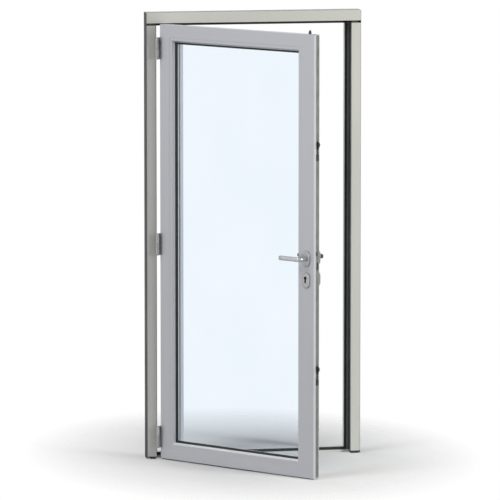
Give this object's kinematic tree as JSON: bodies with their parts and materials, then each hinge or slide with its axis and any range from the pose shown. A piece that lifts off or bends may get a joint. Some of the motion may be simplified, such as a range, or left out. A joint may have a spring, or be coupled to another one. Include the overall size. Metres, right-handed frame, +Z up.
{
  "type": "glazed door with frame",
  "caption": "Glazed aluminium door, its leaf hung on barrel hinges and swung open, with a lever handle and hook bolts on the edge, in a slim frame with a low threshold.",
  "frame": {"origin": "on the floor, in the middle of the threshold's underside", "axes": "+X from the hinge side to the lock side, +Z up, -Y towards the side the leaf opens to; the rest pose has the leaf open by 49.7 degrees"},
  "size_m": [1.05, 0.8141, 2.165],
  "materials": {
    "frame_aluminium": "satin anodised",
    "leaf_aluminium": "satin anodised",
    "black_plastic": "matte",
    "black_rubber": "matte",
    "steel": "galvanised",
    "satin_metal": "satin",
    "dark_metal": "satin",
    "clear_glass": "clear"
  },
  "bodies": {
    "frame": {"head_front_shell": "frame_aluminium", "head_rear_shell": "frame_aluminium", "hinge_jamb_front_shell": "frame_aluminium", "hinge_jamb_rear_shell": "frame_aluminium", "lock_jamb_front_shell": "frame_aluminium", "lock_jamb_rear_shell": "frame_aluminium", "frame_thermal_bars": "black_plastic", "lock_jamb_thermal_bars": "black_plastic", "threshold_base": "frame_aluminium", "threshold_stop": "frame_aluminium", "frame_gaskets": "black_rubber", "joint_pads": "black_plastic", "latch_keep": "steel", "hook_keeps": "steel", "frame_screws": "steel", "hinge_frame_low": "satin_metal", "hinge_frame_mid": "satin_metal", "hinge_frame_top": "satin_metal", "hinge_pins": "steel", "hinge_washers": "black_plastic"},
    "leaf": {"hinge_leaf_low": "satin_metal", "hinge_leaf_mid": "satin_metal", "hinge_leaf_top": "satin_metal", "hinge_stile_front_shell": "leaf_aluminium", "hinge_stile_rear_shell": "leaf_aluminium", "lock_stile_front_shell": "leaf_aluminium", "lock_stile_rear_shell": "leaf_aluminium", "top_rail_front_shell": "leaf_aluminium", "top_rail_rear_shell": "leaf_aluminium", "bottom_rail_front_shell": "leaf_aluminium", "bottom_rail_rear_shell": "leaf_aluminium", "leaf_thermal_bars": "black_plastic", "corner_cleats": "leaf_aluminium", "hinge_side_bead": "leaf_aluminium", "lock_side_bead": "leaf_aluminium", "top_bead": "leaf_aluminium", "bottom_bead": "leaf_aluminium", "inner_pane": "clear_glass", "outer_pane": "clear_glass", "pane_spacer": "satin_metal", "glazing_blocks": "black_plastic", "inner_glazing_gasket": "black_rubber", "outer_glazing_gasket": "black_rubber", "bottom_brush": "black_plastic", "lock_faceplate": "steel", "leaf_screws": "steel", "lock_case": "steel", "hook_cases": "steel", "hook_guides": "black_plastic", "handle_ovals": "satin_metal"},
    "handle": {"inner_lever": "satin_metal", "outer_lever": "dark_metal", "spindle": "steel"},
    "latch": {"latch_bolt": "steel"},
    "main_bolt": {"deadbolt": "dark_metal"},
    "hook_upper": {"upper_hook": "dark_metal"},
    "hook_lower": {"lower_hook": "dark_metal"},
    "rod_upper": {"upper_drive_rod": "steel"},
    "rod_lower": {"lower_drive_rod": "steel"},
    "shoot_bolt": {"top_bolt": "steel"}
  },
  "joints": [
    {"name": "leaf_swing", "type": "hinge", "parent": "frame", "child": "leaf", "pos_m": [-0.476, -0.076, 1], "axis": [0, 0, 1], "range_deg": [-60.3, 49.7]},
    {"name": "lever_turn", "type": "hinge", "parent": "leaf", "child": "handle", "pos_m": [0.15103, -0.72955, 1.052], "axis": [0.7627, 0.6468, 0], "range_deg": [-45, 0], "stiffness_Nm_per_rad": 3, "springref_deg": 28.65},
    {"name": "latch_slide", "type": "slide", "parent": "leaf", "child": "latch", "axis": [0.6468, -0.7627, 0], "range_m": [-0.009, 0]},
    {"name": "upper_rod_slide", "type": "slide", "parent": "leaf", "child": "rod_upper", "axis": [0, 0, 1], "range_m": [-0.018, 0]},
    {"name": "lower_rod_slide", "type": "slide", "parent": "leaf", "child": "rod_lower", "axis": [0, 0, 1], "range_m": [0, 0.018]},
    {"name": "top_bolt_slide", "type": "slide", "parent": "leaf", "child": "shoot_bolt", "axis": [0, 0, 1], "range_m": [-0.018, 0]},
    {"name": "upper_hook_turn", "type": "hinge", "parent": "leaf", "child": "hook_upper", "pos_m": [0.16383, -0.75934, 1.549], "axis": [0.7627, 0.6468, 0], "range_deg": [-27, 0]},
    {"name": "lower_hook_turn", "type": "hinge", "parent": "leaf", "child": "hook_lower", "pos_m": [0.16383, -0.75934, 0.484], "axis": [0.7627, 0.6468, 0], "range_deg": [-27, 0]},
    {"name": "deadbolt_slide", "type": "slide", "parent": "leaf", "child": "main_bolt", "axis": [0.6468, -0.7627, 0], "range_m": [0, 0.02]}
  ],
  "couplings": [
    {"joint": "latch_slide", "follows": "lever_turn", "m_per_rad": 0.011459},
    {"joint": "top_bolt_slide", "follows": "lever_turn", "m_per_rad": 0.022918},
    {"joint": "upper_rod_slide", "follows": "lever_turn", "m_per_rad": 0.022918},
    {"joint": "lower_rod_slide", "follows": "lever_turn", "m_per_rad": -0.022918},
    {"joint": "upper_hook_turn", "follows": "lever_turn", "ratio": 0.6},
    {"joint": "lower_hook_turn", "follows": "lever_turn", "ratio": 0.6}
  ]
}
